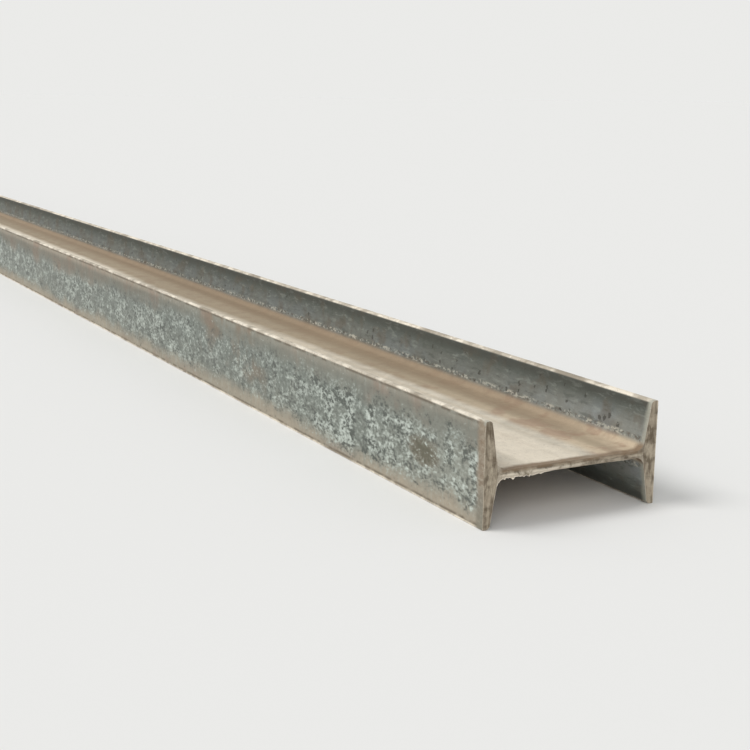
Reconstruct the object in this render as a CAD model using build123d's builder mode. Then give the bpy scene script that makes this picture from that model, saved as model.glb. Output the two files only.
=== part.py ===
from build123d import *

import math
import os

# A hot-rolled steel I-beam with tapered flanges, sawn square at both ends.
#
# The beam lies as it is stored: its web is level and it rests on the toes of its two flanges.
# X runs along the beam, Y across its depth and Z up. The origin is on the floor, midway along
# the beam and midway between the flanges.

# Stock size, in millimetres
length = 6000.0
depth = 180.0
flange_width = 94.0
web_thickness = 6.5

# The flange's thickness is measured halfway along its free leg, because its inner face slopes
flange_thickness = 10.7
flange_slope = 1 / 6

# Corner radii that the rolls leave
root_radius = 8.5
toe_inner_radius = 4.3
toe_outer_radius = 1.0

# Mass of one cubic millimetre of steel, in kilograms
steel_density = 7.85e-6


def inner_face_at(height):
    """Distance from the beam's middle to a flange's inner face, at a height above the web's middle."""
    measured_height = (flange_width + web_thickness) / 4
    thickness_here = flange_thickness + (measured_height - height) * flange_slope
    return depth / 2 - thickness_here


# Corners of one quarter of the section, from the web's middle out to the flange's toe
half_web = web_thickness / 2
half_flange = flange_width / 2
root_corner = (inner_face_at(half_web), half_web)
toe_inner_corner = (inner_face_at(half_flange), half_flange)
toe_outer_corner = (depth / 2, half_flange)

# The section stands across the beam, centred at half the flange's width above the floor
section_plane = Plane(origin=(0, 0, half_flange), x_dir=(0, 1, 0), z_dir=(1, 0, 0))

with BuildPart() as i_beam:
    with BuildSketch(section_plane) as section:
        with BuildLine():
            Polyline(
                (0, 0),
                (0, half_web),
                root_corner,
                toe_inner_corner,
                toe_outer_corner,
                (depth / 2, 0),
                close=True,
            )
        make_face()
        for corner, radius in (
            (root_corner, root_radius),
            (toe_inner_corner, toe_inner_radius),
            (toe_outer_corner, toe_outer_radius),
        ):
            fillet(section.vertices().sort_by_distance(corner)[0], radius)
        mirror(about=Plane.YZ)
        mirror(about=Plane.XZ)
    extrude(amount=length / 2, both=True)

i_beam.part.label = "i_beam"

os.makedirs("parts", exist_ok=True)
export_step(i_beam.part, "parts/i_beam.step")

section_area = i_beam.part.volume / length
toe_thickness = depth / 2 - toe_inner_corner[0]
root_thickness = depth / 2 - root_corner[0]
print(f"section area {section_area / 100:.3f} cm2, mass {section_area * 1000 * steel_density:.3f} kg/m")
print(f"mass of the whole beam {i_beam.part.volume * steel_density:.2f} kg")
print(f"flange slope {math.degrees(math.atan(flange_slope)):.2f} degrees")
print(f"flange thickness {toe_thickness:.3f} mm at the toe, {root_thickness:.3f} mm at the root")
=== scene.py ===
import math
from types import SimpleNamespace

import bmesh
import bpy
from bpy.props import FloatProperty, FloatVectorProperty, IntProperty, PointerProperty
from mathutils import Matrix, Vector, noise


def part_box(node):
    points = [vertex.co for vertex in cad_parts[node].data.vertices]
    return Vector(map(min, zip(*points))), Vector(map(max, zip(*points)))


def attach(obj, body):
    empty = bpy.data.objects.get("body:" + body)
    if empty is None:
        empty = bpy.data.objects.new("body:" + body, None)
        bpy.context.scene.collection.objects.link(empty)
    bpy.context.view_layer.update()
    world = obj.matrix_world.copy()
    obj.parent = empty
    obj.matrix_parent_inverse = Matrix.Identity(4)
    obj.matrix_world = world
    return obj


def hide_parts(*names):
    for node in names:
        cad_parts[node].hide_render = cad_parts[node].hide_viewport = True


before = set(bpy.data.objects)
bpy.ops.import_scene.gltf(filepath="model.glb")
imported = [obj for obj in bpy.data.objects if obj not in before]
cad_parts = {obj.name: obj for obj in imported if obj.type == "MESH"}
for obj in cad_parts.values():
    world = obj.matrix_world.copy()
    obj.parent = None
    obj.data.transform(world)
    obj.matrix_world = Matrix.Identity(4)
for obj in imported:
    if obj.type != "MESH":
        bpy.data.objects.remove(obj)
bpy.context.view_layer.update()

bl_info = {
    "name": "Rolled Steel Beam",
    "version": (1, 0, 0),
    "blender": (4, 5, 0),
    "location": "View3D > Sidebar > Steel Beam",
    "description": "Finishes a hot-rolled steel I-beam with mill scale, rust, worn edges and sawn ends",
    "category": "Object",
}

# The node of the frame that the finished beam stands for, and its body
BEAM_NODE = "i_beam"
BEAM_BODY = "root"

# The beam's corners in the frame: its length runs along X, its depth along Y, its flanges along Z
beam_low, beam_high = (Vector(corner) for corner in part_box(BEAM_NODE))

# The finished mesh carries this map, laid out so that its materials can be baked through it
BAKE_MAP = "OFBake"
# How much of a burr's ridge each point holds, from 0 to 1
BURR_LAYER = "burr"
# How much like bare metal the steel shines, from 0 to 1
STEEL_GLINT = 0.20


def srgb(red, green, blue):
    """A screen's colour, from 0 to 255 in each part, as linear light from 0 to 1."""
    def linear(level):
        share = level / 255
        return share / 12.92 if share <= 0.04045 else ((share + 0.055) / 1.055) ** 2.4
    return (linear(red), linear(green), linear(blue))


def length_field(name, description, default):
    """A size of the beam, in metres."""
    return FloatProperty(
        name=name, description=description, default=default, min=0.0, precision=4,
        subtype="DISTANCE", unit="LENGTH",
    )


def colour_field(name, description, default):
    """A colour of one of the beam's finishes."""
    return FloatVectorProperty(
        name=name, description=description, default=default, size=3, min=0.0, max=1.0, subtype="COLOR",
    )


class BeamSize(bpy.types.PropertyGroup):
    """Sizes of the rolled section, of the grid that its mesh follows and of its unevenness."""

    web: length_field("Web", "Thickness of the web", 0.0065)
    flange: length_field("Flange", "Thickness of a flange halfway along its free leg", 0.0107)
    flange_slope: FloatProperty(
        name="Flange slope", description="How much thicker a flange grows over a length of its leg",
        default=1 / 6, min=0.0,
    )
    root_radius: length_field("Root radius", "Radius between the web and a flange", 0.0085)
    toe_inner_radius: length_field("Inner toe radius", "Radius of a toe on the web's side", 0.0043)
    toe_outer_radius: length_field("Outer toe radius", "Radius of a toe on the outer side", 0.0010)
    outline_step: length_field("Outline step", "Distance between points round the section", 0.0013)
    first_step: length_field("First step", "Distance from a sawn end to the first ring of points", 0.0005)
    longest_step: length_field("Longest step", "Distance between rings far from the ends", 0.055)
    step_growth: FloatProperty(
        name="Step growth", description="How much longer each step is than the one before it", default=1.3,
        min=1.01,
    )
    unevenness: length_field("Unevenness", "Depth of the hollows that rolling leaves", 0.0004)
    burr_reach: length_field("Burr reach", "How far the saw's burr stands out of the section", 0.0014)
    burr_depth: length_field("Burr depth", "How far the burr reaches back along the beam", 0.0030)
    rim: length_field("Rim", "Width of the rolled-over edge round a sawn end", 0.0007)
    stain_back: length_field("Stain back", "From the front end to the stain on the near flank", 0.098)
    stain_rise: length_field("Stain rise", "Height of that stain above the floor", 0.045)
    stain_reach: length_field("Stain reach", "Half the length of that stain", 0.024)
    knock_reach: length_field("Knock reach", "How far the knocked-in corner reaches", 0.0070)
    knock_depth: length_field("Knock depth", "How far a knock drove one corner of a flange in", 0.0016)
    seed: IntProperty(
        name="Seed", description="Shifts the pattern of the burr and the hollows", default=139,
    )


class SteelFinish(bpy.types.PropertyGroup):
    """Colours of the mill scale, the rust, the dust and the sawn steel, some of which also paint light and
    shade.
    """

    scale_bright: colour_field("Bright scale", "Flakes of mill scale that stand up", srgb(195, 202, 194))
    scale_light: colour_field("Light scale", "Loose mill scale", srgb(171, 178, 169))
    scale_grey: colour_field("Grey scale", "Even mill scale", srgb(116, 125, 117))
    # Bare gaps between the flakes, and also the colour of painted shade on the flanks and inside the flanges
    scale_dark_and_shade: colour_field("Dark scale", "Bare gaps between the flakes", srgb(80, 85, 78))
    smooth_grey: colour_field("Smooth grey", "Thin scale along a flange's edges", srgb(136, 135, 124))
    tan: colour_field("Tan", "Thin rust over scale", srgb(156, 146, 130))
    beige: colour_field("Beige", "Dry dirt low on a flange", srgb(168, 158, 140))
    olive: colour_field("Olive", "A damp stain on the scale", srgb(92, 90, 75))
    rust: colour_field("Rust", "Brown rust", srgb(126, 105, 82))
    # Dark scale and pits, and painted shade under the toes inside the flanges
    dark_pits_and_shade: colour_field("Soot", "Dark scale inside the flanges, under the toes", srgb(62, 60, 54))
    red_rust: colour_field("Red rust", "Fresh rust, in small patches", srgb(160, 127, 108))
    inner_grey: colour_field("Inner scale", "Whole scale inside the flanges", srgb(140, 145, 144))
    worn_edge: colour_field("Worn edge", "Toes and corners that handling has worn", srgb(238, 229, 212))
    # Pale dust, which on the web also paints its lit part as painted light
    dust: colour_field("Dust", "Pale dust on the web", srgb(224, 214, 196))
    web_brown: colour_field("Web brown", "Rusty film on the web", srgb(206, 189, 163))
    # Thicker film on the web, and painted shade farther back on it
    web_dark_and_shade: colour_field("Dark web brown", "Thicker film on the web", srgb(146, 131, 108))
    # Film and painted shade along the roots of the flanges
    root_brown_and_shade: colour_field("Root brown", "Film along the roots of the flanges", srgb(140, 119, 95))
    stripped: colour_field("Stripped end", "Steel beside a cut that lost its scale", srgb(144, 129, 110))
    edge_dirt: colour_field("Edge dirt", "Dark dirt and rust along corners", srgb(96, 84, 68))
    sawn_light: colour_field("Light sawn steel", "Bright parts of a sawn end", srgb(166, 155, 136))
    sawn_dark: colour_field("Dark sawn steel", "Stained parts of a sawn end", srgb(94, 82, 65))
    shift: length_field("Shift", "Slides every pattern along the beam", 0.0)


class StudioLook(bpy.types.PropertyGroup):
    """The floor, the lamps and the camera's lens."""

    floor: colour_field("Floor", "Colour of the floor and the background", srgb(232, 232, 230))
    floor_size: FloatProperty(
        name="Floor size", description="Length of the floor's side", default=160.0, subtype="DISTANCE",
        unit="LENGTH",
    )
    sky_level: FloatProperty(name="Sky level", description="Light from all round", default=0.50, min=0.0)
    key_level: FloatProperty(
        name="Key level", description="Strength of the main lamp", default=1.40, min=0.0,
    )
    fill_level: FloatProperty(
        name="Fill level", description="Strength of the second lamp", default=1.30, min=0.0,
    )
    lens: FloatProperty(
        name="Lens", description="Focal length in millimetres", default=64.3, subtype="DISTANCE_CAMERA",
    )


class ShaderBook:
    """Writes one node tree. Each method adds nodes and returns the socket that holds their result."""

    def __init__(self, tree):
        self.tree = tree
        tree.nodes.clear()

    def feed(self, socket, value):
        if isinstance(value, bpy.types.NodeSocket):
            self.tree.links.new(value, socket)
        elif socket.type == "RGBA":
            socket.default_value = (*value, 1.0)
        else:
            socket.default_value = value

    def add(self, kind, inputs, **settings):
        node = self.tree.nodes.new(kind)
        for name, value in settings.items():
            setattr(node, name, value)
        for name, value in inputs.items():
            self.feed(node.inputs[name], value)
        return node

    def place(self):
        return self.add("ShaderNodeTexCoord", {}).outputs["Object"]

    def parts(self, vector):
        node = self.add("ShaderNodeSeparateXYZ", {"Vector": vector})
        return node.outputs["X"], node.outputs["Y"], node.outputs["Z"]

    def joined(self, x, y, z):
        return self.add("ShaderNodeCombineXYZ", {"X": x, "Y": y, "Z": z}).outputs["Vector"]

    def stretched(self, place, scale):
        return self.add("ShaderNodeMapping", {"Vector": place, "Scale": scale}).outputs["Vector"]

    def shifted(self, place, distance):
        along = (distance, 0.0, 0.0)
        return self.add("ShaderNodeMapping", {"Vector": place, "Location": along}).outputs["Vector"]

    def layer(self, name):
        """What a mesh stores for its points under that name."""
        return self.add("ShaderNodeAttribute", {}, attribute_name=name).outputs["Fac"]

    def maths(self, operation, first, second=0.0, clamp=False):
        node = self.add("ShaderNodeMath", {0: first, 1: second}, operation=operation, use_clamp=clamp)
        return node.outputs["Value"]

    def times(self, *values):
        product = values[0]
        for value in values[1:]:
            product = self.maths("MULTIPLY", product, value)
        return product

    def plus(self, *values):
        total = values[0]
        for value in values[1:]:
            total = self.maths("ADD", total, value)
        return total

    def inverse(self, value):
        return self.maths("SUBTRACT", 1.0, value)

    def sway(self, pattern, reach):
        """A pattern as a shift to both sides, half the reach each way at most."""
        return self.times(self.maths("SUBTRACT", pattern, 0.5), reach)

    def span(self, value, start, end, low=0.0, high=1.0):
        """A soft step: low where the value is at start, high where it is at end."""
        inputs = {"Value": value, "From Min": start, "From Max": end, "To Min": low, "To Max": high}
        return self.add("ShaderNodeMapRange", inputs, interpolation_type="SMOOTHSTEP").outputs["Result"]

    def noise(self, place, scale, detail=2.0, roughness=0.5, distortion=0.0):
        inputs = {
            "Vector": place, "Scale": scale, "Detail": detail, "Roughness": roughness,
            "Distortion": distortion,
        }
        return self.add("ShaderNodeTexNoise", inputs).outputs["Fac"]

    def flecks(self, place, per_metre, share, size):
        """Ragged spots, one in each of a share of all cells. The largest radius is about size, in cells."""
        ragged = self.noise(place, per_metre * 2.5, 2.0)
        cells = self.add("ShaderNodeTexVoronoi", {"Vector": place, "Scale": per_metre})
        picked = self.parts(cells.outputs["Color"])
        largest = self.span(picked[1], 0.0, 1.0, 0.35 * size, size)
        radius = self.times(largest, self.span(ragged, 0.3, 0.7, 0.5, 1.5))
        inside = self.maths("SUBTRACT", radius, cells.outputs["Distance"])
        chosen = self.maths("LESS_THAN", picked[0], share)
        return self.times(self.span(inside, 0.0, 0.08), chosen)

    def blend(self, share, first, second):
        node = self.tree.nodes.new("ShaderNodeMix")
        node.data_type = "RGBA"
        self.feed(node.inputs[0], share)
        self.feed(node.inputs[6], first)
        self.feed(node.inputs[7], second)
        return node.outputs[2]

    def coat(self, colour, coating, where, start, end, share=1.0):
        """Lays a coating on a colour: none where the value is at start, its share where it is at end."""
        return self.blend(self.span(where, start, end, 0.0, share), colour, coating)

    def tinted(self, colour, level):
        """The colour made lighter or darker by a level around 1."""
        grey = self.joined(level, level, level)
        node = self.tree.nodes.new("ShaderNodeMix")
        node.data_type = "RGBA"
        node.blend_type = "MULTIPLY"
        self.feed(node.inputs[0], 1.0)
        self.feed(node.inputs[6], colour)
        self.feed(node.inputs[7], grey)
        return node.outputs[2]

    def surface(self, colour, roughness, metallic, height):
        """Ends the tree in a surface. The height is in metres."""
        bump = self.add("ShaderNodeBump", {"Height": height, "Strength": 1.0, "Distance": 1.0})
        surface = self.add(
            "ShaderNodeBsdfPrincipled",
            {
                "Base Color": colour, "Roughness": roughness, "Metallic": metallic,
                "Normal": bump.outputs["Normal"],
            },
        )
        self.add("ShaderNodeOutputMaterial", {"Surface": surface.outputs["BSDF"]})


def new_material(name):
    material = bpy.data.materials.new(name)
    material.use_nodes = True
    return material, ShaderBook(material.node_tree)


# A flank's finish, by height over the web's middle: where each band sets in, and where it is whole
BROKEN_FROM_ABOVE = (0.038, 0.012)
BROKEN_FROM_BELOW = (-0.042, -0.018)
DIRT_DOWNWARDS = (-0.010, -0.034)
SHOULDER_UPWARDS = (0.010, 0.026)
SHOULDER_DOWNWARDS = (0.042, 0.034)
LIP_DIRT = (0.0418, 0.0440)
STRIP_GREYING = (0.0, -0.030)

# The inner faces' finish and painted shade, by distance from the web's middle
# Dark scale and painted shade, darker towards the toes
DARK_SCALE_AND_SHADE_OUTWARDS = (0.017, 0.041)
# Painted shade and dark scale in a band under the toes
DARK_SCALE_AND_SHADE_UNDER_TOES = (0.032, 0.043)
LOOSE_LINE_OUTSIDE = (0.0155, 0.0130)
LOOSE_LINE_INSIDE = (0.0090, 0.0108)

# The web's finish and painted light and shade, by distance across from the beam's middle
# Rust and painted shade along the roots
ROOT_FILM_AND_SHADE = (0.042, 0.064)
# Pale dust and painted light across the web's near side
DUST_AND_LIGHT_ACROSS = (0.041, 0.025)

# How far from a sawn end the finishes, and the painted light and shade, change along the beam
PALE_NEAR_END = (0.20, 0.05)
# Painted shade that darkens a flank's scale and thins its flakes farther back
FLANK_SHADED_FARTHER_BACK = (0.12, 0.60)
# Painted shade that dims the bright flakes farther back
FLAKES_SHADED_FARTHER_BACK = (0.12, 0.40)
# Painted shade inside the flanges, darker farther back from the ends
SHADED_INSIDE_FARTHER_BACK = (0.03, 0.34)
# Painted shade on the web's film, darker farther back from the ends
WEB_SHADED_FARTHER_BACK = (0.0, 0.45)
# The roots' rust and painted shade grow away from the ends
ROOT_FILM_AND_SHADE_STARTS = (0.02, 0.12)
# The web's dust and painted light narrow farther back from the ends
DUST_AND_LIGHT_NARROW_BACK = (0.35, 1.10)
BARED_STRIP = (0.011, 0.004)

# How far under the beam's outside each finish sets in, and where it is whole
OUTER_SKIN = (0.0016, 0.0004)
INSIDE_SKIN = (0.0016, 0.0030)
TOE_SKIN = (0.0026, 0.0012)

# Where the web's upper side begins, by height over the web's middle
UPPER_SIDE = (-0.001, 0.001)

# A sawn end's finish: across it, by height over the web's middle, and by depth under its edges
FLANGE_ACROSS = (0.070, 0.077)
NEAR_HALF = (0.035, -0.025)
RUSTY_TOP = (-0.0002, 0.0026)
PALE_BOTTOM = (0.0012, -0.0022)
GROOVE_UPWARDS = (-0.008, 0.012)
GROOVE_OUTSIDE = (0.0008, 0.0020)
GROOVE_INSIDE = (0.0042, 0.0026)
DARK_EDGE = (0.0020, 0.0004)
PALE_RIM = (0.0012, 0.0004)


def section_places(book, size):
    """Where a point is on the section, and how surely it is on each kind of face."""
    place = book.place()
    x, y, z = book.parts(place)
    half_width = (beam_high.z - beam_low.z) / 2
    above = book.maths("SUBTRACT", z, beam_low.z + half_width)
    out = book.maths("ABSOLUTE", y)
    rise = book.maths("ABSOLUTE", above)
    web_top = size.web / 2

    def under_outside(skin):
        return book.span(out, beam_high.y - skin[0], beam_high.y - skin[1])

    return SimpleNamespace(
        place=place,
        across=y,
        out=out,
        above=above,
        rise=rise,
        from_end=book.maths("SUBTRACT", beam_high.x, book.maths("ABSOLUTE", x)),
        outer=under_outside(OUTER_SKIN),
        toe=book.span(rise, half_width - TOE_SKIN[0], half_width - TOE_SKIN[1]),
        web=book.times(
            book.span(rise, web_top + size.root_radius, web_top + 0.3 * size.root_radius),
            under_outside(INSIDE_SKIN),
        ),
        upper=book.span(above, *UPPER_SIDE),
    )


def steel_patterns(book, place):
    """The patterns that the rolled faces are painted with. Their scales are in features to a metre."""
    # Rolling drew the flakes out, so that they are longer along the beam than they stand high
    rolled = book.stretched(place, (0.92, 1.0, 1.45))
    return SimpleNamespace(
        cloud=book.noise(place, 3.5, 3.0),
        drift=book.noise(book.stretched(place, (0.9, 14.0, 14.0)), 1.0, 3.0, 0.55),
        patches=book.noise(place, 16.0, 4.0, 0.6),
        clusters=book.noise(place, 34.0, 3.0, 0.6),
        streaks=book.noise(book.stretched(place, (1.2, 160.0, 160.0)), 1.0, 4.0, 0.6),
        scratches=book.noise(book.stretched(place, (9.0, 600.0, 600.0)), 1.0, 2.0),
        blots=book.noise(rolled, 70.0, 3.0, 0.55),
        scuffs=book.noise(book.stretched(place, (150.0, 90.0, 26.0)), 1.0, 2.0, 0.5),
        rubbed=book.noise(book.stretched(place, (55.0, 190.0, 190.0)), 1.0, 4.0, 0.62, 0.4),
        bands=book.noise(book.stretched(place, (0.8, 42.0, 42.0)), 1.0, 2.0, 0.45),
        mottle=book.noise(rolled, 215.0, 4.0, 0.58, 0.4),
        gaps=book.noise(rolled, 240.0, 3.0, 0.55, 0.4),
        fine=book.noise(rolled, 460.0, 2.0, 0.6),
        grain=book.noise(place, 900.0, 2.0),
        pits=book.flecks(place, 150.0, 0.16, 0.36),
        specks=book.flecks(place, 95.0, 0.10, 0.16),
    )


def broken_scale(book, spot, patterns):
    """How broken the scale on a flank is: it thins out upwards and downwards into smooth bands."""
    bent = book.plus(spot.above, book.sway(patterns.patches, 0.040), book.sway(patterns.drift, 0.030))
    return book.times(book.span(bent, *BROKEN_FROM_ABOVE), book.span(bent, *BROKEN_FROM_BELOW))


def stain_at(book, spot, patterns, size):
    """One smooth stain low on the near flank, a hand's breadth from the front end."""
    x, y, z = book.parts(spot.place)
    along = book.times(book.maths("SUBTRACT", x, beam_high.x - size.stain_back), 1 / size.stain_reach)
    up = book.times(book.maths("SUBTRACT", z, beam_low.z + size.stain_rise), 2 / size.stain_reach)
    round_it = book.plus(book.times(along, along), book.times(up, up))
    away = book.plus(round_it, book.sway(patterns.blots, 2.4), book.sway(patterns.mottle, 2.4))
    return book.times(book.span(away, 1.7, 0.1), book.maths("LESS_THAN", y, 0.0))


def smooth_scale(book, spot, patterns, finish):
    """Thin rust, dirt and scuffs over the smooth scale above and below a flank's middle."""
    colour = book.coat(finish.smooth_grey, finish.tan, patterns.drift, 0.38, 0.62)
    colour = book.coat(colour, finish.beige, spot.above, *DIRT_DOWNWARDS, 0.50)
    colour = book.coat(colour, finish.red_rust, patterns.patches, 0.52, 0.68, 0.34)
    colour = book.coat(colour, finish.scale_light, patterns.scuffs, 0.52, 0.72, 0.22)
    return book.coat(colour, finish.scale_grey, patterns.scuffs, 0.46, 0.28, 0.30)


def whole_scale(book, spot, patterns, finish, near_end):
    """The scale between a flank's flakes: cloudy, darkened farther back by painted shade, and paler near the
    end.
    """
    colour = book.coat(finish.scale_grey, finish.scale_light, patterns.clusters, 0.44, 0.62, 0.50)
    colour = book.coat(colour, finish.scale_dark_and_shade, patterns.clusters, 0.48, 0.32, 0.40)
    colour = book.coat(colour, finish.scale_light, patterns.mottle, 0.38, 0.64, 0.35)
    colour = book.coat(colour, finish.scale_dark_and_shade, patterns.blots, 0.50, 0.32, 0.40)
    colour = book.coat(colour, finish.scale_dark_and_shade, patterns.cloud, 0.44, 0.58, 0.24)
    # Painted shade: darker farther back from the end
    colour = book.coat(colour, finish.scale_dark_and_shade, spot.from_end, *FLANK_SHADED_FARTHER_BACK, 0.26)
    pale = book.blend(0.45, finish.scale_light, finish.beige)
    return book.blend(book.times(near_end, 0.34), colour, pale)


def lay_flakes(book, spot, patterns, finish, broken, near_end, colour):
    """Dark gaps and two tones of pale flakes, crowded where a flank's scale is broken, and fewer and dimmer
    farther back as painted shade.
    """
    # Fewer flakes farther back, as part of the painted shade
    crowd = book.times(
        broken,
        book.span(patterns.clusters, 0.36, 0.58, 0.32, 1.0),
        book.span(patterns.cloud, 0.58, 0.44, 0.70, 1.0),
        book.span(spot.from_end, *FLANK_SHADED_FARTHER_BACK, 1.0, 0.70),
    )
    bias = book.times(book.inverse(crowd), 0.16)
    tone = book.plus(
        book.times(patterns.mottle, 0.60), book.times(patterns.fine, 0.10), book.times(patterns.blots, 0.30),
    )
    raised = book.maths("SUBTRACT", tone, bias)
    gaps = book.times(book.span(book.plus(tone, bias), 0.58, 0.45), book.span(near_end, 0.0, 1.0, 1.0, 0.86))
    colour = book.blend(gaps, colour, finish.scale_dark_and_shade)
    colour = book.coat(colour, finish.scale_light, raised, 0.42, 0.55, 0.85)
    # The bright flakes dim farther back: painted shade
    bright = book.times(book.span(raised, 0.49, 0.60), book.span(spot.from_end, *FLAKES_SHADED_FARTHER_BACK, 0.90, 0.55))
    return book.blend(bright, colour, finish.scale_bright)


def flank_colour(book, spot, patterns, finish, broken, stain):
    """Pale flakes and dark gaps where the scale is broken, and thin rust and dirt where it is smooth."""
    near_end = book.span(spot.from_end, *PALE_NEAR_END)
    smooth = smooth_scale(book, spot, patterns, finish)
    whole = whole_scale(book, spot, patterns, finish, near_end)
    colour = book.blend(book.times(broken, 0.9), smooth, whole)
    browned = book.times(book.span(patterns.cloud, 0.50, 0.62), book.span(patterns.patches, 0.46, 0.60), 0.50)
    colour = book.blend(browned, colour, finish.rust)
    colour = book.blend(book.times(stain, 0.92), colour, finish.olive)
    colour = lay_flakes(book, spot, patterns, finish, broken, near_end, colour)
    shoulder = book.times(
        book.span(spot.above, *SHOULDER_UPWARDS), book.span(spot.above, *SHOULDER_DOWNWARDS),
        book.span(patterns.drift, 0.30, 0.55), 0.46,
    )
    colour = book.blend(shoulder, colour, finish.scale_dark_and_shade)
    lip = book.times(book.span(spot.rise, *LIP_DIRT), book.span(patterns.blots, 0.38, 0.54), 0.75)
    return book.blend(lip, colour, finish.edge_dirt)


def inner_colour(book, spot, patterns, finish):
    """Whole, dark scale with pits, which flakes off in a line where the root begins. It is darker towards the
    toes, from dark scale and painted shade, and darker farther back from the ends, from painted shade.
    """
    colour = book.coat(finish.inner_grey, finish.smooth_grey, patterns.patches, 0.40, 0.60, 0.55)
    # Dark scale and painted shade towards the toes
    colour = book.coat(colour, finish.scale_dark_and_shade, spot.rise, *DARK_SCALE_AND_SHADE_OUTWARDS, 0.95)
    # Painted shade, darker farther back from the ends
    colour = book.coat(colour, finish.scale_dark_and_shade, spot.from_end, *SHADED_INSIDE_FARTHER_BACK, 0.46)
    colour = book.coat(colour, finish.scale_dark_and_shade, patterns.rubbed, 0.48, 0.34, 0.50)
    colour = book.coat(colour, finish.scale_light, patterns.rubbed, 0.53, 0.68, 0.25)
    colour = book.coat(colour, finish.edge_dirt, patterns.clusters, 0.50, 0.66, 0.40)
    # Painted shade and dark scale in a band under the toes
    colour = book.coat(colour, finish.dark_pits_and_shade, spot.rise, *DARK_SCALE_AND_SHADE_UNDER_TOES, 0.55)
    line = book.times(book.span(spot.rise, *LOOSE_LINE_OUTSIDE), book.span(spot.rise, *LOOSE_LINE_INSIDE))
    spots = book.plus(book.times(patterns.mottle, 0.45), book.times(patterns.gaps, 0.55))
    flakes = book.times(
        line, book.span(spots, 0.48, 0.58), book.span(patterns.clusters, 0.28, 0.50), 0.68,
    )
    colour = book.blend(flakes, colour, book.blend(patterns.blots, finish.scale_light, finish.dust))
    between = book.times(line, book.span(patterns.gaps, 0.46, 0.36), 0.65)
    colour = book.blend(between, colour, finish.edge_dirt)
    return book.blend(book.times(patterns.pits, 0.70), colour, finish.dark_pits_and_shade)


def web_film_and_shade(book, spot, patterns, finish):
    """The rusty film on the web: banded, darker away from the ends as painted shade, and brown along the
    roots, partly rust and partly painted shade.
    """
    colour = book.coat(finish.web_brown, finish.web_dark_and_shade, patterns.bands, 0.38, 0.60, 0.50)
    colour = book.coat(colour, finish.red_rust, patterns.clusters, 0.48, 0.62, 0.55)
    # Painted shade: the film darkens farther back from the ends
    thicker = book.span(spot.from_end, *WEB_SHADED_FARTHER_BACK, 0.06, 0.80)
    colour = book.blend(thicker, colour, finish.web_dark_and_shade)
    # Rust and painted shade along the roots, growing away from the ends
    root = book.times(
        book.span(spot.out, *ROOT_FILM_AND_SHADE, 0.0, 0.60), book.span(spot.from_end, *ROOT_FILM_AND_SHADE_STARTS, 0.3, 1.0),
    )
    return book.blend(root, colour, finish.root_brown_and_shade)


def web_dust_and_light(book, patterns, finish):
    """The pale dust on the web, which also stands for painted light on its lit part, streaked with film and
    worn thin in places.
    """
    colour = book.coat(finish.dust, finish.web_brown, patterns.bands, 0.44, 0.66, 0.45)
    thin = book.times(
        book.span(patterns.drift, 0.47, 0.64), book.span(patterns.clusters, 0.40, 0.62, 0.5, 1.0), 0.34,
    )
    colour = book.blend(thin, colour, finish.smooth_grey)
    return book.coat(colour, finish.rust, patterns.fine, 0.60, 0.70, 0.22)


def web_colour(book, spot, patterns, finish):
    """A rusty film, and on its upper side pale dust that is partly painted light, thick along one flange and
    thin along the other, and narrower farther back from the ends.
    """
    spread = book.plus(
        spot.across, book.sway(patterns.drift, 0.024), book.sway(patterns.clusters, 0.008),
        book.span(spot.from_end, *DUST_AND_LIGHT_NARROW_BACK, 0.0, 0.014),
    )
    # Pale dust and painted light over the web's near side
    dust_and_light_share = book.times(
        book.span(spread, *DUST_AND_LIGHT_ACROSS), spot.upper, book.span(patterns.patches, 0.25, 0.50, 0.84, 1.0),
    )
    film = web_film_and_shade(book, spot, patterns, finish)
    return book.blend(dust_and_light_share, film, web_dust_and_light(book, patterns, finish))


def toe_colour(book, patterns, finish):
    """The toes' worn edges, pale, with patches of thin rust and dirt."""
    colour = book.coat(finish.worn_edge, finish.tan, patterns.patches, 0.50, 0.66)
    colour = book.coat(colour, finish.beige, patterns.clusters, 0.44, 0.60, 0.55)
    colour = book.coat(colour, finish.tan, patterns.blots, 0.48, 0.60, 0.55)
    return book.coat(colour, finish.stripped, patterns.mottle, 0.54, 0.64, 0.40)


def strip_colour(book, spot, patterns, finish):
    """The strip beside a cut, where no scale is left: by the kind of face it crosses."""
    flank = book.coat(finish.stripped, finish.rust, patterns.blots, 0.44, 0.58, 0.60)
    flank = book.coat(flank, finish.beige, patterns.gaps, 0.48, 0.62, 0.55)
    flank = book.coat(flank, finish.scale_grey, spot.above, *STRIP_GREYING, 0.45)
    inside = book.blend(0.5, finish.beige, finish.scale_light)
    web = book.coat(finish.rust, finish.stripped, patterns.clusters, 0.48, 0.66)
    return book.blend(spot.web, book.blend(spot.outer, inside, flank), web)


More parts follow.
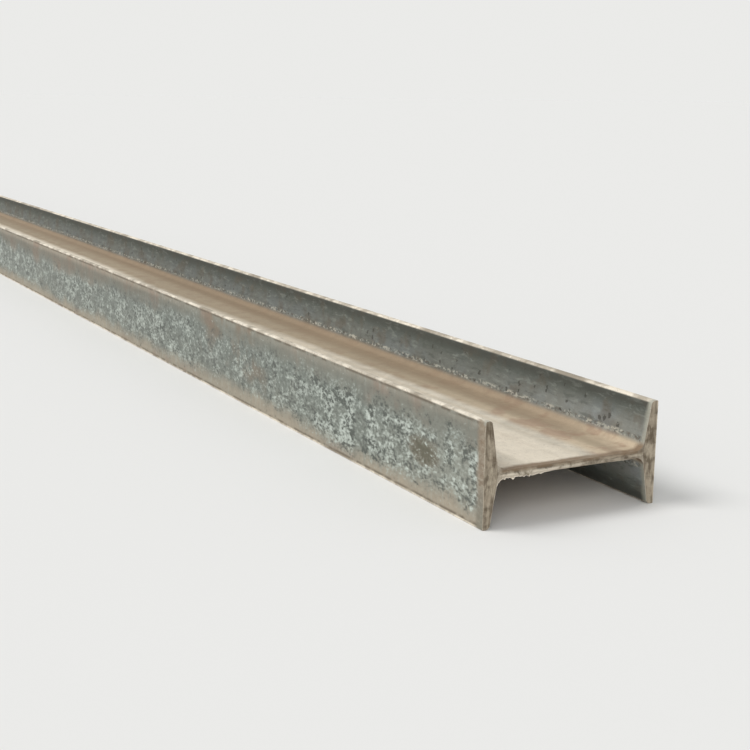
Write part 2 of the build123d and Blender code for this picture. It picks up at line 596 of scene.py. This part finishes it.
def rolled_steel(size, finish):
    """Mill scale, rust and dust on every rolled face, by where the face is on the section, with painted light
    and shade on the web, inside the flanges and farther back on the flanks.
    """
    material, book = new_material("rolled_steel")
    spot = section_places(book, size)
    patterns = steel_patterns(book, book.shifted(spot.place, finish.shift))
    stain = stain_at(book, spot, patterns, size)
    broken = book.times(broken_scale(book, spot, patterns), book.inverse(book.times(stain, 0.92)))
    colour = inner_colour(book, spot, patterns, finish)
    colour = book.blend(spot.web, colour, web_colour(book, spot, patterns, finish))
    colour = book.blend(spot.outer, colour, flank_colour(book, spot, patterns, finish, broken, stain))
    colour = book.blend(spot.toe, colour, toe_colour(book, patterns, finish))
    from_cut = book.plus(
        spot.from_end, book.times(patterns.blots, 0.007), book.times(spot.outer, -0.006),
        book.times(spot.web, -0.004),
    )
    colour = book.coat(colour, strip_colour(book, spot, patterns, finish), from_cut, *BARED_STRIP, 0.94)
    colour = book.blend(book.times(patterns.specks, 0.4), colour, finish.edge_dirt)
    colour = book.blend(book.layer(BURR_LAYER), colour, finish.worn_edge)
    level = book.plus(
        0.44,
        book.times(patterns.cloud, 0.24),
        book.times(patterns.streaks, 0.10),
        book.times(patterns.blots, 0.26),
        book.times(patterns.scratches, 0.06),
        book.times(patterns.mottle, 0.22),
        book.times(patterns.grain, 0.24),
    )
    on_scale = book.times(spot.outer, broken)
    roughness = book.span(book.plus(on_scale, book.times(patterns.grain, 0.2)), 0.0, 1.2, 0.72, 0.46)
    height = book.plus(
        book.times(patterns.mottle, book.plus(0.00015, book.times(on_scale, 0.0005))),
        book.times(patterns.gaps, on_scale, 0.0003),
        book.times(patterns.pits, -0.00012),
        book.times(patterns.blots, 0.00030),
        book.times(patterns.grain, 0.00005),
        book.times(patterns.streaks, 0.00015),
    )
    book.surface(book.tinted(colour, level), roughness, STEEL_GLINT, height)
    return material


def saw_patterns(book, place, flange):
    """Streaks along each wall of a sawn end, and the blotches, stains and grain over them."""
    along_web = book.noise(book.stretched(place, (1.0, 60.0, 420.0)), 1.0, 3.0, 0.6, 0.5)
    along_flange = book.noise(book.stretched(place, (1.0, 290.0, 60.0)), 1.0, 3.0, 0.6, 0.5)
    return SimpleNamespace(
        lines=book.plus(book.times(flange, along_flange), book.times(book.inverse(flange), along_web)),
        blotches=book.noise(place, 90.0, 4.0, 0.55, 0.5),
        stains=book.noise(place, 56.0, 4.0, 0.6),
        grain=book.noise(place, 1100.0, 2.0),
        marks=book.flecks(book.stretched(place, (1.0, 1.0, 0.5)), 90.0, 0.16, 0.30),
    )


def sawn_web(book, spot, saw, finish, in_web, colour):
    """The web's sawn face: rusty along its top and pale along its bottom, most in the near half."""
    rusty = book.coat(finish.rust, finish.stripped, saw.blotches, 0.40, 0.60)
    top = book.times(in_web, book.span(spot.above, *RUSTY_TOP), 0.80)
    colour = book.blend(top, colour, rusty)
    bottom = book.times(
        in_web, book.span(spot.above, *PALE_BOTTOM), book.span(saw.blotches, 0.36, 0.52),
        book.span(spot.across, *NEAR_HALF, 0.15, 0.85),
    )
    return book.blend(bottom, colour, finish.dust)


def sawn_edges(book, spot, saw, finish, size, flange, colour):
    """A groove inside each flange's outer edge, dark dirt along the inner edges and a pale rim."""
    flange_inside = book.plus(inner_face(size, 0.0), book.times(spot.rise, size.flange_slope))
    from_inside = book.maths("SUBTRACT", spot.out, flange_inside)
    from_outside = book.maths("SUBTRACT", beam_high.y, spot.out)
    groove = book.times(
        book.span(from_outside, *GROOVE_OUTSIDE), book.span(from_outside, *GROOVE_INSIDE),
        book.span(spot.above, *GROOVE_UPWARDS), 0.45,
    )
    colour = book.blend(groove, colour, finish.sawn_dark)
    depth = book.maths("MAXIMUM", from_inside, book.maths("SUBTRACT", size.web / 2, spot.rise))
    edge = book.times(
        book.span(depth, *DARK_EDGE), book.span(saw.blotches, 0.36, 0.50),
        book.span(flange, 0.0, 1.0, 0.40, 0.80),
    )
    colour = book.blend(edge, colour, finish.edge_dirt)
    in_flange = book.maths("MINIMUM", from_outside, from_inside)
    rim = book.times(flange, book.span(in_flange, *PALE_RIM), book.span(saw.stains, 0.38, 0.52), 0.36)
    return book.blend(rim, colour, finish.dust)


def sawn_steel(size, finish):
    """A sawn end: streaked along each wall and blotched, with dirt and wear along its edges."""
    material, book = new_material("sawn_steel")
    spot = section_places(book, size)
    flange = book.span(spot.out, *FLANGE_ACROSS)
    saw = saw_patterns(book, spot.place, flange)
    mixed = book.plus(
        book.times(saw.lines, 0.32), book.times(saw.blotches, 0.34), book.times(saw.stains, 0.34),
    )
    colour = book.coat(finish.sawn_dark, finish.sawn_light, mixed, 0.41, 0.58)
    colour = book.coat(colour, finish.stripped, saw.stains, 0.50, 0.64, 0.30)
    colour = sawn_web(book, spot, saw, finish, book.inverse(flange), colour)
    colour = book.blend(book.times(saw.marks, flange, 0.40), colour, finish.edge_dirt)
    colour = sawn_edges(book, spot, saw, finish, size, flange, colour)
    colour = book.blend(book.times(book.layer(BURR_LAYER), 0.8), colour, finish.worn_edge)
    level = book.plus(0.82, book.times(saw.grain, 0.36))
    height = book.plus(
        book.times(saw.lines, 0.00012), book.times(saw.grain, 0.00006), book.times(saw.blotches, 0.00035),
    )
    book.surface(book.tinted(colour, level), 0.66, STEEL_GLINT, height)
    return material


def inner_face(size, rise):
    """How far out from the beam's middle a flange's inner face is, at a distance from the web's middle."""
    half_width = (beam_high.z - beam_low.z) / 2
    measured_at = (half_width + size.web / 2) / 2
    return beam_high.y - size.flange - (measured_at - rise) * size.flange_slope


def corner_bevel(bm, corner, radius, angle):
    """Rounds one corner of a flat outline to a radius. The angle lies between the corner's two edges."""
    bmesh.ops.bevel(
        bm, geom=[corner], offset=radius / math.tan(angle / 2), offset_type="OFFSET", segments=8,
        profile=0.5, affect="VERTICES", material=-1,
    )


def draw_section(bm, size):
    """Draws the section's outline as one closed line at x = 0, from a quarter that is mirrored twice."""
    middle = (beam_high.z + beam_low.z) / 2
    half_depth = beam_high.y
    half_width = beam_high.z - middle
    half_web = size.web / 2
    corners = [
        (0.0, 0.0),
        (0.0, half_web),
        (inner_face(size, half_web), half_web),
        (inner_face(size, half_width), half_width),
        (half_depth, half_width),
        (half_depth, 0.0),
    ]
    points = [bm.verts.new((0.0, across, rise)) for across, rise in corners]
    bm.faces.new(points)
    blunt = math.pi / 2 + math.atan(size.flange_slope)
    corner_bevel(bm, points[2], size.root_radius, blunt)
    corner_bevel(bm, points[3], size.toe_inner_radius, blunt)
    corner_bevel(bm, points[4], size.toe_outer_radius, math.pi / 2)
    for axis in ("Y", "Z"):
        bmesh.ops.mirror(bm, geom=bm.faces[:] + bm.edges[:] + bm.verts[:], axis=axis, merge_dist=1e-6)
    bmesh.ops.recalc_face_normals(bm, faces=bm.faces[:])
    bmesh.ops.dissolve_faces(bm, faces=bm.faces[:], use_verts=True)
    bmesh.ops.translate(bm, verts=bm.verts[:], vec=(0.0, 0.0, middle))
    if len(bm.faces) != 1:
        raise RuntimeError("The section's quarters didn't join into one outline")
    bmesh.ops.delete(bm, geom=bm.faces[:], context="FACES_ONLY")


def divide_outline(bm, step):
    """Adds points along the outline, so that no two lie much more than a step apart."""
    by_cuts = {}
    for edge in bm.edges:
        cuts = round(edge.calc_length() / step) - 1
        if cuts > 0:
            by_cuts.setdefault(cuts, []).append(edge)
    for cuts, edges in by_cuts.items():
        bmesh.ops.subdivide_edges(bm, edges=edges, cuts=cuts)


def walk_outline(bm, layer):
    """Stores each point's distance round the outline and returns the whole distance."""
    start = min(bm.verts, key=lambda point: (point.co.z, point.co.y))
    vert = start
    edge = vert.link_edges[0]
    walked = 0.0
    while True:
        vert[layer] = walked
        walked += edge.calc_length()
        vert = edge.other_vert(vert)
        if vert == start:
            return walked
        edge = next(other for other in vert.link_edges if other != edge)


def ring_places(size):
    """Where along X the beam has rings of points: close together at its ends, wide apart between."""
    half_length = beam_high.x
    from_end = [0.0]
    step = size.first_step
    while from_end[-1] + step < half_length - size.longest_step / 2:
        from_end.append(from_end[-1] + step)
        step = min(step * size.step_growth, size.longest_step)
    front = [half_length - distance for distance in from_end]
    return front + [0.0] + [-place for place in reversed(front)]


def roll_out(bm, places):
    """Draws the outline out along the beam, ring by ring, and closes both ends."""
    bmesh.ops.translate(bm, verts=bm.verts[:], vec=(places[0], 0.0, 0.0))
    first = bm.edges[:]
    edges = first
    for place, following in zip(places, places[1:]):
        made = bmesh.ops.extrude_edge_only(bm, edges=edges)["geom"]
        edges = [item for item in made if isinstance(item, bmesh.types.BMEdge) and item.is_boundary]
        verts = [item for item in made if isinstance(item, bmesh.types.BMVert)]
        bmesh.ops.translate(bm, verts=verts, vec=(following - place, 0.0, 0.0))
    ends = []
    for rim in (first, edges):
        ends += bmesh.ops.edgeloop_fill(bm, edges=rim)["faces"]
    bmesh.ops.recalc_face_normals(bm, faces=bm.faces[:])
    return ends


# How close together the features of the burr and of the rolled faces' hollows lie
TEETH_PER_METRE = 480.0
STRETCHES_PER_METRE = 22.0
SWELLS_PER_METRE = 4.0
RIPPLES_PER_METRE = 26.0
# Which way the blow on the corner went
KNOCK_TOWARDS = (-0.25, 0.75, -0.60)


def ragged(place, per_metre, seed):
    """Smooth noise from -1 to 1 at a place in space, shifted by the seed."""
    return noise.noise(place * per_metre + Vector((seed, seed * 0.7, seed * 0.3)))


def burr_at(place, normal, size):
    """How far the burr stands out at a place on the end's rim: a lip under the web, and teeth."""
    teeth = max(0.0, ragged(place, TEETH_PER_METRE, size.seed) + 0.12)
    stretch = max(0.0, ragged(place, STRETCHES_PER_METRE, size.seed + 3) + 0.35)
    hanging = max(0.0, -normal.z)
    inward = max(0.0, -math.copysign(normal.y, place.y * normal.y))
    lip = hanging * stretch * 0.9
    off_the_floor = min(1.0, (place.z - beam_low.z) / size.flange)
    reach = lip + teeth * stretch * (0.15 + 2.2 * hanging + 0.4 * inward)
    return size.burr_reach * reach * off_the_floor


def knock_at(place, size):
    """How far a blow drove a point in, at the top corner of the near flange's front end."""
    corner = Vector((beam_high.x, beam_low.y, beam_high.z))
    near = max(0.0, 1.0 - (place - corner).length / size.knock_reach)
    return Vector(KNOCK_TOWARDS) * size.knock_depth * near * (2.0 - near)


def wear(bm, size, burr_layer):
    """Moves the points for the hollows of rolling, the saw's burr at the ends and the knocked corner."""
    bm.normal_update()
    moves = []
    for vert in bm.verts:
        from_end = beam_high.x - abs(vert.co.x)
        normal = Vector((0.0, vert.normal.y, vert.normal.z)).normalized()
        swell = ragged(vert.co, SWELLS_PER_METRE, size.seed)
        ripple = ragged(vert.co, RIPPLES_PER_METRE, size.seed + 1)
        hollow = 0.35 + 0.45 * swell + 0.20 * ripple
        move = -normal * size.unevenness * max(0.0, min(1.0, hollow))
        if from_end < size.burr_depth:
            fade = (1 - from_end / size.burr_depth) ** 2
            reach = burr_at(vert.co, normal, size) * fade
            move += normal * reach
            move.x += math.copysign(reach * 0.5 * fade, vert.co.x)
            vert[burr_layer] = min(1.0, 2.0 * fade * reach / size.burr_reach)
        moves.append((vert, move + knock_at(vert.co, size)))
    for vert, move in moves:
        vert.co += move


# The bake map: the rows that the beam's length is cut into, the gap between them, the ends' larger scale
MAP_ROWS = 3
MAP_GAP = 0.018
END_ZOOM = 2.2


def lay_out_map(bm, around, perimeter):
    """Maps the beam's length in rows side by side, and its two ends beside them at a larger scale."""
    layer = bm.loops.layers.uv.new(BAKE_MAP)
    length, depth, width = beam_high - beam_low
    row_length = length / MAP_ROWS
    row_pitch = perimeter + MAP_GAP
    end_pitch = depth * END_ZOOM + MAP_GAP
    side = max(MAP_ROWS * row_pitch, row_length + width * END_ZOOM + 2 * MAP_GAP)
    for face in bm.faces:
        if face.material_index:
            back = face.calc_center_median().x < 0
            for loop in face.loops:
                across = (loop.vert.co.z - beam_low.z) * END_ZOOM + row_length + 1.5 * MAP_GAP
                along = (loop.vert.co.y - beam_low.y) * END_ZOOM + back * end_pitch + MAP_GAP
                loop[layer].uv = (across / side, along / side)
            continue
        row = min(MAP_ROWS - 1, int((face.calc_center_median().x - beam_low.x) / row_length))
        rounds = [loop.vert[around] for loop in face.loops]
        wraps = max(rounds) - min(rounds) > perimeter / 2
        for loop, walked in zip(face.loops, rounds):
            if wraps and walked < perimeter / 2:
                walked += perimeter
            along = loop.vert.co.x - beam_low.x - row * row_length + MAP_GAP / 4
            across = row * row_pitch + walked + MAP_GAP / 4
            loop[layer].uv = (along / side, across / side)


# Edges that turn by more than this stay sharp
SHARP_ANGLE = math.radians(38)


def shape_beam(size):
    """The whole beam as one closed mesh, with its sawn ends in the second material."""
    bm = bmesh.new()
    around = bm.verts.layers.float.new("around")
    burr_layer = bm.verts.layers.float.new(BURR_LAYER)
    draw_section(bm, size)
    divide_outline(bm, size.outline_step)
    perimeter = walk_outline(bm, around)
    ends = roll_out(bm, ring_places(size))
    wear(bm, size, burr_layer)
    for face in ends:
        face.material_index = 1
    rims = bmesh.ops.inset_region(bm, faces=ends, thickness=size.rim, use_even_offset=True)["faces"]
    for face in rims:
        face.material_index = 1
    for face in ends:
        for vert in face.verts:
            vert[burr_layer] = 0.0
            vert.co.x = math.copysign(beam_high.x, vert.co.x)
    bmesh.ops.recalc_face_normals(bm, faces=bm.faces[:])
    lay_out_map(bm, around, perimeter)
    mesh = bpy.data.meshes.new("rolled_beam")
    bm.to_mesh(mesh)
    bm.free()
    mesh.shade_smooth()
    mesh.set_sharp_from_angle(angle=SHARP_ANGLE)
    return mesh


class BEAM_OT_rolled_beam(bpy.types.Operator):
    """Makes the beam's finished mesh over its plain solid"""

    bl_idname = "beam.rolled_beam"
    bl_label = "Rolled beam"

    def execute(self, context):
        scene = context.scene
        size, finish = scene.beam_size, scene.steel_finish
        mesh = shape_beam(size)
        mesh.materials.append(rolled_steel(size, finish))
        mesh.materials.append(sawn_steel(size, finish))
        beam = bpy.data.objects.new("rolled_beam", mesh)
        scene.collection.objects.link(beam)
        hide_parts(BEAM_NODE)
        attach(beam, BEAM_BODY)
        return {"FINISHED"}


def pale_floor(look):
    """A matt floor, seen in its own colour, that keeps the beam's shadow."""
    material, book = new_material("pale_floor")
    surface = book.add("ShaderNodeBsdfDiffuse", {"Color": look.floor})
    book.add("ShaderNodeOutputMaterial", {"Surface": surface.outputs["BSDF"]})
    return material


def lay_floor(scene, look):
    bm = bmesh.new()
    bmesh.ops.create_grid(bm, x_segments=1, y_segments=1, size=look.floor_size / 2)
    mesh = bpy.data.meshes.new("floor")
    bm.to_mesh(mesh)
    bm.free()
    mesh.materials.append(pale_floor(look))
    floor = bpy.data.objects.new("floor", mesh)
    scene.collection.objects.link(floor)


def light_world(scene, look, shown_level):
    """Even light from all round, and the lit floor's colour where the camera or a gloss sees the sky."""
    world = bpy.data.worlds.new("studio")
    world.use_nodes = True
    scene.world = world
    book = ShaderBook(world.node_tree)
    rays = book.add("ShaderNodeLightPath", {})
    seen = book.maths("MAXIMUM", rays.outputs["Is Camera Ray"], rays.outputs["Is Glossy Ray"])
    seen = book.maths("MAXIMUM", seen, rays.outputs["Is Transmission Ray"])
    light = book.add("ShaderNodeBackground", {"Color": (1.0, 1.0, 1.0), "Strength": look.sky_level})
    shown = book.add("ShaderNodeBackground", {"Color": look.floor, "Strength": shown_level})
    mixed = book.add("ShaderNodeMixShader", {0: seen, 1: light.outputs[0], 2: shown.outputs[0]})
    book.add("ShaderNodeOutputWorld", {"Surface": mixed.outputs[0]})


# Where each lamp hangs, seen from the beam, and how broad it looks, in degrees
KEY_TOWARDS = (-0.25, -0.60, 0.90)
KEY_WIDTH = 30.0
FILL_TOWARDS = (0.80, -0.45, 0.40)
FILL_WIDTH = 50.0


def hang_lamp(scene, name, towards, level, width):
    """Hangs a broad lamp far away in one direction, and returns the light that it adds to the floor."""
    data = bpy.data.lights.new(name, "SUN")
    data.energy = level
    data.angle = math.radians(width)
    lamp = bpy.data.objects.new(name, data)
    lamp.rotation_euler = Vector(towards).to_track_quat("Z", "Y").to_euler()
    scene.collection.objects.link(lamp)
    return level / math.pi * Vector(towards).normalized().z


# Where the camera stands, from the middle of the front end's lower edge, and how it is turned
CAMERA_OFF_THE_END = (0.8916, -0.6717, 0.3546)
CAMERA_HEADING = math.radians(61.75)
CAMERA_PITCH = math.radians(-11.89)
CAMERA_ROLL = math.radians(0.73)


def stand_camera(scene, look):
    """The camera stands off the beam's front end, above it and to one side, and looks along it."""
    turned = Matrix.Rotation(CAMERA_HEADING, 4, "Z")
    tipped = Matrix.Rotation(math.pi / 2 + CAMERA_PITCH, 4, "X")
    rolled = Matrix.Rotation(CAMERA_ROLL, 4, "Z")
    data = bpy.data.cameras.new("camera")
    data.sensor_width = 36.0
    data.lens = look.lens
    data.clip_start = 0.05
    data.clip_end = 500.0
    camera = bpy.data.objects.new("camera", data)
    place = Matrix.Translation(Vector((beam_high.x, 0.0, 0.0)) + Vector(CAMERA_OFF_THE_END))
    camera.matrix_world = place @ turned @ tipped @ rolled
    scene.collection.objects.link(camera)
    scene.camera = camera


class BEAM_OT_studio(bpy.types.Operator):
    """Makes the floor, the lights and the camera"""

    bl_idname = "beam.studio"
    bl_label = "Studio"

    def execute(self, context):
        scene = context.scene
        look = scene.studio_look
        lay_floor(scene, look)
        key = hang_lamp(scene, "key", KEY_TOWARDS, look.key_level, KEY_WIDTH)
        fill = hang_lamp(scene, "fill", FILL_TOWARDS, look.fill_level, FILL_WIDTH)
        light_world(scene, look, look.sky_level + key + fill)
        stand_camera(scene, look)
        scene.view_settings.view_transform = "Standard"
        return {"FINISHED"}


class BEAM_PT_panel(bpy.types.Panel):
    """Lists the beam's sizes, finishes and operators"""

    bl_idname = "BEAM_PT_panel"
    bl_label = "Steel beam"
    bl_space_type = "VIEW_3D"
    bl_region_type = "UI"
    bl_category = "Steel Beam"

    def draw(self, context):
        scene = context.scene
        for group in (scene.beam_size, scene.steel_finish, scene.studio_look):
            box = self.layout.box()
            for name in group.bl_rna.properties.keys():
                if name not in ("rna_type", "name"):
                    box.prop(group, name)
        self.layout.operator(BEAM_OT_rolled_beam.bl_idname)
        self.layout.operator(BEAM_OT_studio.bl_idname)


CLASSES = (BeamSize, SteelFinish, StudioLook, BEAM_OT_rolled_beam, BEAM_OT_studio, BEAM_PT_panel)


def register():
    for item in CLASSES:
        bpy.utils.register_class(item)
    bpy.types.Scene.beam_size = PointerProperty(type=BeamSize)
    bpy.types.Scene.steel_finish = PointerProperty(type=SteelFinish)
    bpy.types.Scene.studio_look = PointerProperty(type=StudioLook)


def unregister():
    del bpy.types.Scene.studio_look
    del bpy.types.Scene.steel_finish
    del bpy.types.Scene.beam_size
    for item in reversed(CLASSES):
        bpy.utils.unregister_class(item)


def main():
    register()
    bpy.ops.beam.rolled_beam()
    bpy.ops.beam.studio()


if __name__ == "__main__":
    main()
